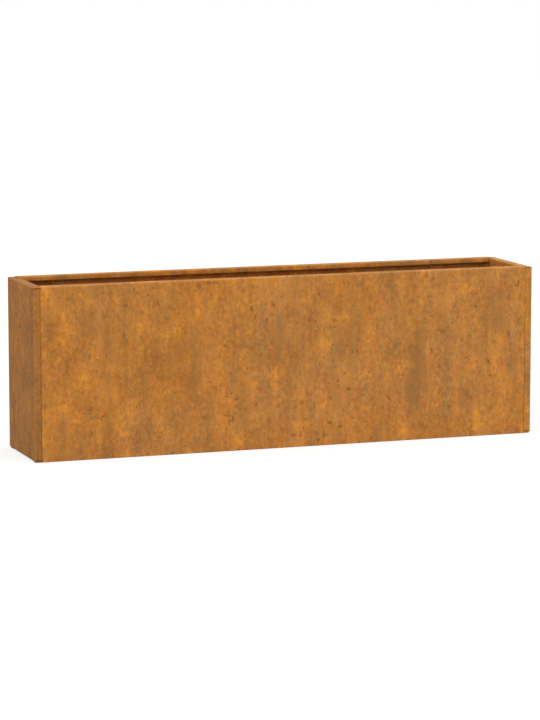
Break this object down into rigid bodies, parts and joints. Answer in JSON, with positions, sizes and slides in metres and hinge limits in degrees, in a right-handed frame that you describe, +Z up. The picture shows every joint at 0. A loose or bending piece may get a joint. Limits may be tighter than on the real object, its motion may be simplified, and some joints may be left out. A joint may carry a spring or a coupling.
{
  "type": "planter box",
  "caption": "Long narrow open-topped planter box of rust-patinated folded steel sheet, bolted together inside its corners, with a drained floor to hold soil and plants.",
  "frame": {"origin": "Centre of the footprint, on the plane that the base stands on.", "axes": "+X along the length towards the right end, +Y from the front face to the back face, +Z up."},
  "size_m": [1.1, 0.2, 0.36],
  "materials": {
    "weathering_steel": "matte",
    "floor_steel": "matte",
    "zinc_plated_steel": "satin"
  },
  "bodies": {
    "root": {"front_panel": "weathering_steel", "back_panel": "weathering_steel", "left_end_panel": "weathering_steel", "right_end_panel": "weathering_steel", "floor_panel": "floor_steel", "front_left_bolts": "zinc_plated_steel", "front_right_bolts": "zinc_plated_steel", "back_left_bolts": "zinc_plated_steel", "back_right_bolts": "zinc_plated_steel", "front_left_washers": "zinc_plated_steel", "front_right_washers": "zinc_plated_steel", "back_left_washers": "zinc_plated_steel", "back_right_washers": "zinc_plated_steel", "front_left_nuts": "zinc_plated_steel", "front_right_nuts": "zinc_plated_steel", "back_left_nuts": "zinc_plated_steel", "back_right_nuts": "zinc_plated_steel", "front_floor_studs": "zinc_plated_steel", "back_floor_studs": "zinc_plated_steel", "front_floor_washers": "zinc_plated_steel", "back_floor_washers": "zinc_plated_steel", "front_floor_nuts": "zinc_plated_steel", "back_floor_nuts": "zinc_plated_steel"}
  },
  "joints": []
}
